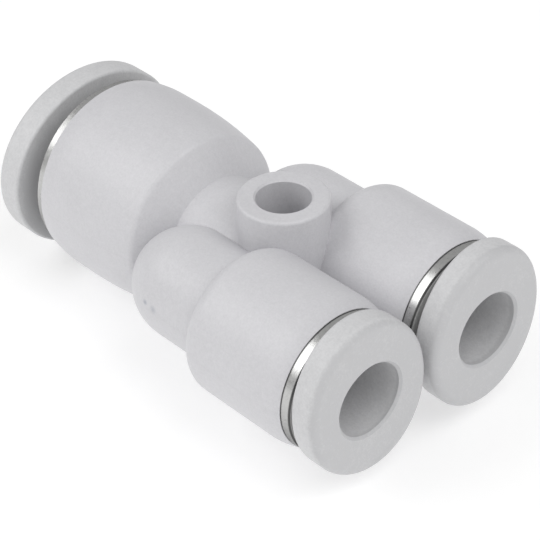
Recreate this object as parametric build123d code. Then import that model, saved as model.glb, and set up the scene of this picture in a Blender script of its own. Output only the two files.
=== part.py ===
from build123d import *
import os
from math import atan, cos, sin

# Push-in Y connector for round tube: one common port and two side-by-side branch ports on a
# moulded body, with a screw hole through a boss between the branches.
# The origin is the centre of the boss. The ports lie in the plane Z = 0 along X: the common port
# opens towards -X and the branches towards +X. The screw hole runs along Z. Millimetres.


class PortSize:
    """Driving sizes of one port, by the tube that it takes."""

    def __init__(self, **sizes):
        self.__dict__.update(sizes)


BRANCH = PortSize(
    tube_r=3.0,
    sleeve_r=6.35,
    crown_length=2.0,
    mouth_r=5.96,
    cartridge_r=5.2,
    collar_r=5.9,
    collar_h=1.0,
    button_long_r=7.1,
    button_short_r=6.0,
    button_h=2.3,
    claws=8,
)
COMMON = PortSize(
    tube_r=4.0,
    sleeve_r=8.53,
    crown_length=2.4,
    mouth_r=8.26,
    cartridge_r=7.1,
    collar_r=8.0,
    collar_h=1.0,
    button_long_r=8.8,
    button_short_r=7.65,
    button_h=2.7,
    claws=10,
)

# Where the ports stand
branch_spacing = 12.6
branch_mouth_x = 12.5
common_mouth_x = -21.4

# Outside of the body
branch_back_x = 1.45
branch_back_round = 1.45
neck_r = 4.78
neck_dome_start_x = -4.2
neck_dome_length = 5.1
neck_tip_r = 2.4
common_straight = 4.4
common_front_x = -10.1
common_front_r = 7.85
common_crease_round = 0.6
hump_r = 5.15
hump_start_x = -9.3
shoulder_root_r = 4.2
shoulder_root_x = -7.5
hump_dome_start_x = -3.0
hump_dome_length = 3.8
hump_tip_r = 6.5
boss_r = 3.75
boss_top_z = 7.6
boss_round = 0.25
boss_blend = 1.2
screw_hole_r = 2.25
screw_hole_chamfer = 0.15

# Inside of the body, measured inwards from the mouth of a port
socket_clear = 0.1
socket_depth = 5.2
socket_chamfer = 0.4
branch_passage_r = 2.1
common_passage_r = 3.0
gallery_x = -6.0
gallery_r = 1.9
passage_overrun = 0.4
cutter_overrun = 0.5

# Cartridge: guide ring, claw ring, collet and seal, stacked inwards from the mouth
press_clear = 0.02
lip_depth = 0.6
lip_offset = 1.2
ring_wall = 0.5
ring_depth = 4.0
collar_chamfer = 0.18
claw_thickness = 0.3
claw_root_offset = 1.3
claw_tip_offset = 0.06
claw_tip_width = 0.1
claw_drop = 1.6
claw_slot = 0.5
claw_slot_reach = 0.5
stack_gap = 0.05
collet_length = 2.3
collet_bore_offset = 0.35
collet_bore_chamfer = 0.1
collet_claw_clear = 0.2
seal_length = 2.0
seal_lip_offset = 0.06
seal_lead_in = 0.5
seal_lead_in_length = 0.7
seal_lip_width = 0.35
seal_groove = 0.9

# Release button
button_bore_offset = 0.15
shank_offset = 0.95
barb_offset = 1.5
barb_h = 0.6
nose_offset = 0.6
nose_taper = 0.7
nose_h = 1.8
button_front_round = 0.7
button_rear_round = 0.25
button_lead_in = 0.2
shank_slot = 0.6
shank_slot_above_barb = 1.2
head_overlap = 0.5
seat_gap = 0.1
button_travel = 1.8


class Port:
    """One port: its size, where its mouth lies, which way it opens, how its button rests."""

    def __init__(self, name, size, mouth, faces, button_lift, button_turn):
        self.name = name
        self.size = size
        self.frame = Location(mouth, (0, 90 * faces, 0))
        self.button_lift = button_lift
        self.button_turn = button_turn

    def placed(self, shape):
        """Move a shape modelled on +Z, with the mouth at Z = 0, to this port."""
        return self.frame * shape


PORTS = [
    Port("common", COMMON, (common_mouth_x, 0, 0), -1, 1.8, 75),
    Port("left", BRANCH, (branch_mouth_x, -branch_spacing / 2, 0), 1, 0.25, 15),
    Port("right", BRANCH, (branch_mouth_x, branch_spacing / 2, 0), 1, 0.5, -5),
]


def turned(*corners):
    """Solid of revolution about Z from (radius, height) corners."""
    outline = Polyline(*corners, close=True)
    return revolve(Plane.XZ * make_face(outline), Axis.Z)


def turned_outline(*edges):
    """Solid of revolution about Z from the edges of a closed half section."""
    return revolve(Plane.XZ * make_face(Curve() + list(edges)), Axis.Z)


def cartridge_depths(size):
    """Depth under the mouth of each layer of the cartridge, and of the tube socket."""
    claw_top = -ring_depth
    collet_top = claw_top - claw_thickness - stack_gap
    seal_top = collet_top - collet_length - stack_gap
    cavity_end = seal_top - seal_length - stack_gap
    return claw_top, collet_top, seal_top, cavity_end


def branch_sleeve(size):
    """Barrel of a branch: crowned at the mouth, rounded over at the back."""
    back = branch_back_x - branch_mouth_x
    flat_r = size.sleeve_r - branch_back_round
    return turned_outline(
        Line((0, 0), (size.mouth_r, 0)),
        TangentArc((size.sleeve_r, -size.crown_length), (size.mouth_r, 0), tangent=(0, 1)),
        Line((size.sleeve_r, -size.crown_length), (size.sleeve_r, back + branch_back_round)),
        TangentArc((size.sleeve_r, back + branch_back_round), (flat_r, back), tangent=(0, -1)),
        Line((flat_r, back), (0, back)),
        Line((0, back), (0, 0)),
    )


def domed_bar(radius, start, dome_start, dome_length, tip_r):
    """Round bar about Z, closed towards -Z by a dome: a side arc that runs into a tip arc."""
    lean = 2 * atan((radius - tip_r) / (dome_length - tip_r))
    tip = dome_start - dome_length
    join = (tip_r * cos(lean), tip + tip_r - tip_r * sin(lean))
    return turned_outline(
        Line((0, start), (radius, start)),
        Line((radius, start), (radius, dome_start)),
        TangentArc((radius, dome_start), join, tangent=(0, -1)),
        TangentArc(join, (0, tip), tangent=(-sin(lean), -cos(lean))),
        Line((0, tip), (0, start)),
    )


def common_sleeve(size):
    """Barrel of the common port: crowned at the mouth, drawn in towards the branches."""
    straight_end = -common_straight
    front = common_mouth_x - common_front_x
    root = common_mouth_x - shoulder_root_x
    barrel = make_face(
        Curve()
        + [
            Line((0, 0), (size.mouth_r, 0)),
            TangentArc((size.sleeve_r, -size.crown_length), (size.mouth_r, 0), tangent=(0, 1)),
            Line((size.sleeve_r, -size.crown_length), (size.sleeve_r, straight_end)),
            TangentArc((size.sleeve_r, straight_end), (common_front_r, front), tangent=(0, -1)),
            Line((common_front_r, front), (shoulder_root_r, root)),
            Line((shoulder_root_r, root), (0, root)),
            Line((0, root), (0, 0)),
        ]
    )
    crease = barrel.vertices().sort_by_distance((common_front_r, front, 0))[0]
    return revolve(Plane.XZ * fillet(crease, common_crease_round), Axis.Z)


def body_outside():
    common, left, right = PORTS
    hump = domed_bar(hump_r, -hump_start_x, -hump_dome_start_x, hump_dome_length, hump_tip_r)
    boss = extrude(Circle(boss_r), boss_top_z, both=True)
    middle = Rot(0, -90, 0) * hump + boss
    joins = middle.edges().filter_by(GeomType.BSPLINE)
    middle = fillet(joins, boss_blend)
    rims = middle.edges().filter_by(GeomType.CIRCLE).group_by(Axis.Z)
    middle = fillet(rims[0] + rims[-1], boss_round)
    outside = middle + common.placed(common_sleeve(COMMON))
    neck_start = branch_back_x + branch_back_round - branch_mouth_x
    dome = neck_dome_start_x - branch_mouth_x
    neck = domed_bar(neck_r, neck_start, dome, neck_dome_length, neck_tip_r)
    for port in (left, right):
        outside += port.placed(branch_sleeve(BRANCH))
        outside += port.placed(neck)
    return outside


def port_cavity(size, passage_r, passage_end):
    """Everything that a port takes out of the body: cartridge bore, tube socket, passage."""
    cavity_end = cartridge_depths(size)[3]
    socket_r = size.tube_r + socket_clear
    stop = cavity_end - socket_depth
    return turned(
        (0, cutter_overrun),
        (size.cartridge_r, cutter_overrun),
        (size.cartridge_r, cavity_end),
        (socket_r + socket_chamfer, cavity_end),
        (socket_r, cavity_end - socket_chamfer),
        (socket_r, stop),
        (passage_r, stop),
        (passage_r, passage_end),
        (0, passage_end),
    )


def body():
    common, left, right = PORTS
    moulding = body_outside()
    moulding -= common.placed(port_cavity(COMMON, common_passage_r, common_mouth_x - gallery_x))
    passage_end = gallery_x - gallery_r - passage_overrun - branch_mouth_x
    for port in (left, right):
        moulding -= port.placed(port_cavity(BRANCH, branch_passage_r, passage_end))
    gallery = extrude(Plane.XZ * Circle(gallery_r), branch_spacing / 2, both=True)
    moulding -= Pos(gallery_x, 0, 0) * gallery
    rim_r = screw_hole_r + screw_hole_chamfer
    rim_z = boss_top_z - screw_hole_chamfer
    return moulding - turned(
        (0, boss_top_z),
        (rim_r, boss_top_z),
        (screw_hole_r, rim_z),
        (screw_hole_r, -rim_z),
        (rim_r, -boss_top_z),
        (0, -boss_top_z),
    )


def guide_ring(size):
    """Plated collar that closes the mouth; its lip guides the button and holds it in."""
    shank_r = size.cartridge_r - press_clear
    lip_r = size.tube_r + lip_offset
    inner_r = shank_r - ring_wall
    ring = turned(
        (lip_r + collar_chamfer, size.collar_h),
        (size.collar_r - collar_chamfer, size.collar_h),
        (size.collar_r, size.collar_h - collar_chamfer),
        (size.collar_r, 0),
        (shank_r, 0),
        (shank_r, -ring_depth),
        (inner_r, -ring_depth),
        (inner_r, -lip_depth),
        (lip_r, -lip_depth),
        (lip_r, size.collar_h - collar_chamfer),
    )
    return ring


def claw_ring(size):
    """Spring steel ring whose claws lean inwards and down on to the tube."""
    claw_top = cartridge_depths(size)[0]
    rim_r = size.cartridge_r - press_clear
    root_r = size.tube_r + claw_root_offset
    tip_r = size.tube_r + claw_tip_offset
    tip = claw_top - claw_thickness - claw_drop
    ring = turned(
        (rim_r, claw_top),
        (root_r, claw_top),
        (tip_r, tip + claw_thickness),
        (tip_r, tip),
        (tip_r + claw_tip_width, tip),
        (root_r + claw_tip_width, claw_top - claw_thickness),
        (rim_r, claw_top - claw_thickness),
    )
    slot = Box(claw_slot, size.cartridge_r, claw_drop + 2 * claw_thickness)
    slot_centre = (claw_top - claw_thickness + tip) / 2
    reach = root_r + claw_slot_reach - size.cartridge_r / 2
    for turn in range(size.claws):
        ring -= Rot(0, 0, turn * 360 / size.claws) * Pos(0, reach, slot_centre) * slot
    return ring


def collet(size):
    """Plastic ring whose cone backs the claws."""
    top = cartridge_depths(size)[1]
    outer_r = size.cartridge_r - press_clear
    root_r = size.tube_r + claw_root_offset
    bore_r = size.tube_r + collet_bore_offset
    cone_r = root_r + claw_tip_width + collet_bore_offset
    cone_end = top - claw_drop - collet_claw_clear
    return turned(
        (outer_r, top),
        (cone_r, top),
        (bore_r + collet_bore_chamfer, cone_end),
        (bore_r, cone_end - collet_bore_chamfer),
        (bore_r, top - collet_length),
        (outer_r, top - collet_length),
    )


def seal(size):
    """Rubber ring with an outer and an inner lip, open towards the pressure side."""
    top = cartridge_depths(size)[2]
    outer_r = size.cartridge_r - press_clear
    lip_r = size.tube_r + seal_lip_offset
    middle_r = (outer_r + lip_r) / 2
    bottom = top - seal_length
    return turned(
        (outer_r, top),
        (lip_r + seal_lead_in, top),
        (lip_r, top - seal_lead_in_length),
        (lip_r, bottom),
        (lip_r + seal_lip_width, bottom),
        (middle_r, bottom + seal_groove),
        (outer_r - seal_lip_width, bottom),
        (outer_r, bottom),
    )


def release_button(port):
    """Oval button with a split, barbed shank; pressed in, its nose lifts the claws."""
    size = port.size
    lift = seat_gap + port.button_lift
    head_z = size.collar_h + lift
    bore_r = size.tube_r + button_bore_offset
    shank_r = size.tube_r + shank_offset
    barb_r = size.tube_r + barb_offset
    nose_r = size.tube_r + nose_offset
    barb_top = lift - lip_depth - seat_gap - button_travel - seat_gap
    barb_end = barb_top - barb_h
    tip = barb_end - nose_h
    head = Pos(0, 0, head_z) * extrude(
        Ellipse(size.button_long_r, size.button_short_r), size.button_h
    )
    front_edge = head.edges().group_by(Axis.Z)[-1]
    head = fillet(front_edge, button_front_round)
    rear_edge = head.edges().group_by(Axis.Z)[0]
    head = fillet(rear_edge, button_rear_round)
    shank = turned(
        (0, head_z + head_overlap),
        (shank_r, head_z + head_overlap),
        (shank_r, barb_top),
        (barb_r, barb_top),
        (shank_r, barb_end),
        (shank_r, tip + nose_taper),
        (nose_r, tip),
        (0, tip),
    )
    slot_top = barb_top + shank_slot_above_barb
    slot_h = slot_top - tip + cutter_overrun
    slot = Pos(0, 0, slot_top - slot_h / 2) * Box(3 * barb_r, shank_slot, slot_h)
    shank -= slot
    shank -= Rot(0, 0, 90) * slot
    face = head_z + size.button_h
    bore = turned(
        (0, face),
        (bore_r + button_lead_in, face),
        (bore_r, face - button_lead_in),
        (bore_r, tip),
        (0, tip),
    )
    return Rot(0, 0, port.button_turn) * (head + shank - bore)


parts = {"body": body()}
for port in PORTS:
    parts["guide_ring_" + port.name] = port.placed(guide_ring(port.size))
    parts["claw_ring_" + port.name] = port.placed(claw_ring(port.size))
    parts["collet_" + port.name] = port.placed(collet(port.size))
    parts["seal_" + port.name] = port.placed(seal(port.size))
    parts["release_button_" + port.name] = port.placed(release_button(port))

os.makedirs("parts", exist_ok=True)
for name, solid in parts.items():
    export_step(solid, "parts/" + name + ".step")
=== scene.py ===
"""A push-in tubing Y connector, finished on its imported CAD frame, in metres.

+X points to the two small branch ports, -X to the large common port, +Z along the screw hole.
"""

import bpy
from mathutils import Matrix, Vector


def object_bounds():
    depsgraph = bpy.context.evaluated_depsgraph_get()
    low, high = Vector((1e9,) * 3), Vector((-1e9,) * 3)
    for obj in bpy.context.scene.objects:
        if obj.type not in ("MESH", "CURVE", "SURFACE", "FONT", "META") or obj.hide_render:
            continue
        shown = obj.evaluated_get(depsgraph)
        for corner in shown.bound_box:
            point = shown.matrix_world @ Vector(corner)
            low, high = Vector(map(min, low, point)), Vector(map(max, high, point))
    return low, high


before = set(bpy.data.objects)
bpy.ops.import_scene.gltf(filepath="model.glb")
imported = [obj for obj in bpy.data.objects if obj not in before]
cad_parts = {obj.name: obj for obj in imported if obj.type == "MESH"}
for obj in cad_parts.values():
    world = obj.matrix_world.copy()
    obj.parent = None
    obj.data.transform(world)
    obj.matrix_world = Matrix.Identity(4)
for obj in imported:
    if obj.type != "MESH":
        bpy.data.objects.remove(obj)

cad_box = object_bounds()


# The body: one moulding of pale grey PBT that holds the three ports, with the screw boss
# between the branches. Its spark-eroded mould parts on the plane of the ports, so it has
# an even satin grain, a hair of flash round its middle and two small ejector marks.
class Shade:
    """A node's output in a material; arithmetic on it adds Math nodes."""

    def __init__(self, tree, output=None):
        self.tree = tree
        self.output = output

    def node(self, kind, settings, inputs, output=0):
        """A new shader node: its settings first, then the values or links of its sockets."""
        made = self.tree.nodes.new("ShaderNode" + kind)
        for name, value in settings.items():
            setattr(made, name, value)
        for name, value in inputs.items():
            if isinstance(value, Shade):
                self.tree.links.new(value.output, made.inputs[name])
            else:
                made.inputs[name].default_value = value
        return Shade(self.tree, made.outputs[output] if len(made.outputs) else None)

    def math(self, operation, *values):
        return self.node("Math", {"operation": operation}, dict(enumerate(values)))

    def __add__(self, other):
        return self.math("ADD", self, other)

    def __sub__(self, other):
        return self.math("SUBTRACT", self, other)

    def __rsub__(self, other):
        return self.math("SUBTRACT", other, self)

    def __mul__(self, other):
        return self.math("MULTIPLY", self, other)

    def __truediv__(self, other):
        return self.math("DIVIDE", self, other)

    __radd__ = __add__
    __rmul__ = __mul__

    def axis(self, name):
        """One coordinate of a place."""
        return self.node("SeparateXYZ", {}, {"Vector": self}, output=name)

    def distance(self, point):
        """How far a place is from a point."""
        ends = {0: self, 1: point}
        return self.node("VectorMath", {"operation": "DISTANCE"}, ends, output="Value")

    def within(self, reach):
        """1 where this distance is nothing, falling to 0 at reach."""
        return self.math("MAXIMUM", 1 - self.math("ABSOLUTE", self) / reach, 0.0)

    def clamped(self, most=1.0):
        """This, kept between 0 and most."""
        return self.math("MINIMUM", self.math("MAXIMUM", self, 0.0), most)

    def clouds(self, size, detail=2.0):
        """Soft variation from 0 to 1 over a place, in patches of about that size."""
        noise = {"Vector": self, "Scale": 1 / size, "Detail": detail, "Roughness": 0.55}
        return self.node("TexNoise", {}, noise)

    def streaks(self, detail):
        """Fine lines from 0 to 1 that follow each other as this number grows."""
        noise = {"W": self, "Scale": 1.0, "Detail": detail}
        return self.node("TexNoise", {"noise_dimensions": "1D"}, noise)

    def between(self, low, high):
        """A colour from low to high as this goes from 0 to 1."""
        low, high = (end if isinstance(end, Shade) else (*end, 1.0) for end in (low, high))
        return self.node("Mix", {"data_type": "RGBA"}, {0: self, 6: low, 7: high}, output=2)

    def raised(self, height, under=None):
        """A normal that stands up by height where this is 1, over another relief."""
        relief = {"Height": self, "Distance": height, "Strength": 1.0}
        return self.node("Bump", {}, relief | ({"Normal": under} if under else {}))


def new_finish(name):
    """An empty material, and the place of a point on the piece."""
    finish = bpy.data.materials.new(name)
    finish.use_nodes = True
    finish.node_tree.nodes.clear()
    return finish, Shade(finish.node_tree).node("TexCoord", {}, {}, output="Object")


def coat_pieces(finish, place, names, **surface):
    """Puts the surface on the material, and the material on those CAD nodes."""
    sockets = {name.replace("_", " "): value for name, value in surface.items()}
    place.node("OutputMaterial", {}, {"Surface": place.node("BsdfPrincipled", {}, sockets)})
    for name in names:
        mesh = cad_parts[name].data
        mesh.materials.clear()
        mesh.materials.append(finish)


body_finish, place = new_finish("moulded_grey_pbt")
clouds = place.clouds(0.006)
grain = place.clouds(0.00016, detail=1.0)
speckle = place.clouds(0.0004)
flash_half_width = 0.00006
flash = place.axis("Z").within(flash_half_width)
deep_mark, deep_mark_radius = (-0.00441, -0.01107, 0.00061), 0.00030
faint_mark, faint_mark_radius = (-0.00343, -0.01107, 0.00040), 0.00045
ejector_marks = (
    place.distance(deep_mark).within(deep_mark_radius)
    + place.distance(faint_mark).within(faint_mark_radius) * 0.6
)
tone = clouds * 0.4 + speckle * 0.5 + grain * 0.6 - 0.25 - flash * 0.06
moulded_grey = tone.between((0.55, 0.546, 0.566), (0.695, 0.69, 0.711))
mark_grey = (0.34, 0.36, 0.41)
coat_pieces(
    body_finish, place, ["body"],
    Base_Color=ejector_marks.between(moulded_grey, mark_grey),
    Roughness=0.42 + 0.14 * speckle,
    Coat_Weight=0.04 + 0.12 * speckle,
    Coat_Roughness=0.22,
    Normal=flash.raised(0.000015, under=grain.raised(0.000012)),
    IOR=1.5,
)


# The seals: a black nitrile ring at the bottom of each port, held between the step of
# the bore and the collet. Its rubber is dull, with a faint bloom and a moulded skin.
PORTS = ("common", "left", "right")
seal_finish, place = new_finish("black_nitrile")
bloom = place.clouds(0.0012)
coat_pieces(
    seal_finish, place, ["seal_" + port for port in PORTS],
    Base_Color=bloom.between((0.012, 0.012, 0.013), (0.035, 0.035, 0.036)),
    Roughness=0.55 + 0.2 * bloom,
    Normal=place.clouds(0.00015).raised(0.00001),
)


# The collets: a spacer of natural acetal between the seal and the claws of each port.
# It is moulded, a little waxy, and slips into the bore before the claws go in.
collet_finish, place = new_finish("natural_acetal")
wax = place.clouds(0.0015)
coat_pieces(
    collet_finish, place, ["collet_" + port for port in PORTS],
    Base_Color=wax.between((0.60, 0.59, 0.57), (0.72, 0.71, 0.69)),
    Roughness=0.36 + 0.12 * wax,
    Normal=place.clouds(0.00012).raised(0.000008),
)


# The claw rings: spring stainless strip, pressed into a ring of teeth that lean inwards
# and bite the tube. The strip keeps the fine lines of its rolling.
claw_finish, place = new_finish("spring_stainless")
rolled_lines_per_metre = 9000
rolling = place.axis("X") * rolled_lines_per_metre + place.clouds(0.002) * 3
lines = rolling.streaks(detail=3.0)
coat_pieces(
    claw_finish, place, ["claw_ring_" + port for port in PORTS],
    Base_Color=lines.between((0.52, 0.52, 0.53), (0.66, 0.66, 0.67)),
    Metallic=1.0,
    Roughness=0.26 + 0.14 * lines,
    Normal=lines.raised(0.000006),
)


# The guide rings: a collar turned from brass, nickel plated bright and pressed into the
# mouth of each port, where it keeps the claws in. Fine tool lines run round it, painted shade
# darkens its edges and its lower side, and it is duller on the front of the branch rings.
ring_finish, place = new_finish("bright_nickel")
tool_lines_per_metre = 16000
along = place.axis("X")
turned = along * tool_lines_per_metre + place.clouds(0.003) * 2
lines = turned.streaks(detail=4.0)
tarnish = place.clouds(0.0003, detail=3.0)
# Painted shade: the nickel darkens towards the bottom of each ring.
underside_shade = (0.5 - place.axis("Z") / 0.006).clamped()
branch_mouth, branch_rim, branch_front = 0.0125, 0.0134, 0.01342
common_mouth, common_rim = -0.0214, -0.0223
at_mouth, at_rim = 0.00016, 0.00010
# Painted shade: dark lines where each ring meets the sleeve mouth and the button's head.
edges = (
    (along - branch_mouth).within(at_mouth) + (along - branch_rim).within(at_rim)
    + (along - common_mouth).within(at_mouth) + (along - common_rim).within(at_rim)
)
nickel = (0.35 + 0.2 * lines + 0.5 * tarnish - 0.5 * underside_shade).between(
    (0.34, 0.34, 0.34), (0.68, 0.68, 0.67)
)
# These edge lines are painted shade of the gaps, drawn almost black.
edge_shade = (edges * 1.6).clamped(0.9)
edge_shade_black = (0.04, 0.04, 0.04)
dull_front = ((along - branch_front) / 0.00004).clamped()
coat_pieces(
    ring_finish, place, ["guide_ring_" + port for port in PORTS],
    Base_Color=edge_shade.between(nickel, edge_shade_black),
    Metallic=1 - 0.9 * dull_front,
    Specular_Tint=(0.55, 0.55, 0.55, 1.0),
    Roughness=0.22 + 0.14 * tarnish,
    Normal=lines.raised(0.000004),
)


# The release buttons: an oval head of pale grey acetal on a slotted shank that snaps into
# the guide ring. Pressed in, the shank's nose opens the claws and lets go of the tube. The
# fronts of the branch heads carry painted shade, and so does the groove behind the common
# one.
button_finish, place = new_finish("moulded_grey_acetal")
clouds = place.clouds(0.004)
grain = place.clouds(0.00018, detail=1.0)
speckle = place.clouds(0.0005)
along, across, height = (place.axis(name) for name in "XYZ")
radius = place.math("SQRT", across * across + height * height)
branch_face = 0.0156
# Painted shade: the front faces of the branch heads are darkened.
front = ((along - branch_face) / 0.0003).clamped()
# Painted shade: the groove behind the common head is darkened inside the head's rim, most low
# down and fading towards the top.
groove, groove_half_width, groove_shade_radius = -0.0222, 0.0023, 0.0088
groove_shade = ((along - groove).within(groove_half_width) * 10).clamped()
groove_shade = groove_shade * ((groove_shade_radius - radius) / 0.0016).clamped()
groove_shade = groove_shade * (0.75 - height / 0.010).clamped()
tone = clouds * 0.4 + speckle * 0.6 + grain * 0.7 - 0.35 - groove_shade * 1.4 - front * 0.5
coat_pieces(
    button_finish, place, ["release_button_" + port for port in PORTS],
    Base_Color=tone.between((0.53, 0.53, 0.54), (0.70, 0.70, 0.708)),
    Roughness=0.44 + 0.14 * speckle,
    Normal=grain.raised(0.000014),
    IOR=1.48,
)


# The studio: a plain pale table under the connector, a soft box high on the left, two soft
# panels, overhead and in front, and an even pale room.
table_z = cad_box[0].z
table_width, table_glow, room_glow = 1.6, 0.47, 0.458
bpy.ops.mesh.primitive_grid_add(x_subdivisions=8, y_subdivisions=8, size=table_width)
table = bpy.context.active_object
table.name = "table"
table.location = (0, 0, table_z)
table_finish, place = new_finish("pale_table")
paper = place.clouds(0.02)
place.node("OutputMaterial", {}, {"Surface": place.node("BsdfPrincipled", {}, {
    "Base Color": paper.between((0.61, 0.61, 0.61), (0.65, 0.65, 0.65)),
    "Roughness": 0.9,
    "Emission Color": (1, 1, 1, 1),
    "Emission Strength": table_glow,
})})
table.data.materials.append(table_finish)


def soft_light(name, towards, distance, size, power):
    """A square area light that far from the connector in that direction, facing it."""
    lamp = bpy.data.lights.new(name, "AREA")
    lamp.size = size
    lamp.energy = power
    made = bpy.data.objects.new(name, lamp)
    bpy.context.scene.collection.objects.link(made)
    made.location = Vector(towards).normalized() * distance
    made.rotation_euler = made.location.to_track_quat("Z", "Y").to_euler()


soft_light("soft_box", (-0.46, -0.60, 0.65), distance=0.35, size=0.24, power=0.42)
soft_light("overhead_panel", (0.5, 0.1, 0.85), distance=0.35, size=0.25, power=0.422)
soft_light("front_panel", (0.9, -0.25, 0.4), distance=0.35, size=0.25, power=0.12)

room = bpy.data.worlds.new("pale_room")
room.use_nodes = True
background = room.node_tree.nodes["Background"]
background.inputs["Color"].default_value = (1, 1, 1, 1)
background.inputs["Strength"].default_value = room_glow
bpy.context.scene.world = room
bpy.context.scene.view_settings.view_transform = "Standard"


# The camera: a long lens that looks down on the connector from beyond its branch ports.
camera = bpy.data.objects.new("camera", bpy.data.cameras.new("camera"))
bpy.context.scene.collection.objects.link(camera)
sensor_width, frame_pixels, focal_pixels = 36, 540, 2139.61
camera.data.sensor_width = sensor_width
camera.data.lens = focal_pixels / frame_pixels * sensor_width
camera.data.clip_start = 0.01
right = Vector((0.67784, 0.73488, -0.02223))
up = Vector((-0.4236, 0.41508, 0.80516))
turn = Matrix((right, up, right.cross(up))).transposed().to_4x4()
camera.matrix_world = Matrix.Translation((0.102829, -0.093419, 0.102658)) @ turn
bpy.context.scene.camera = camera
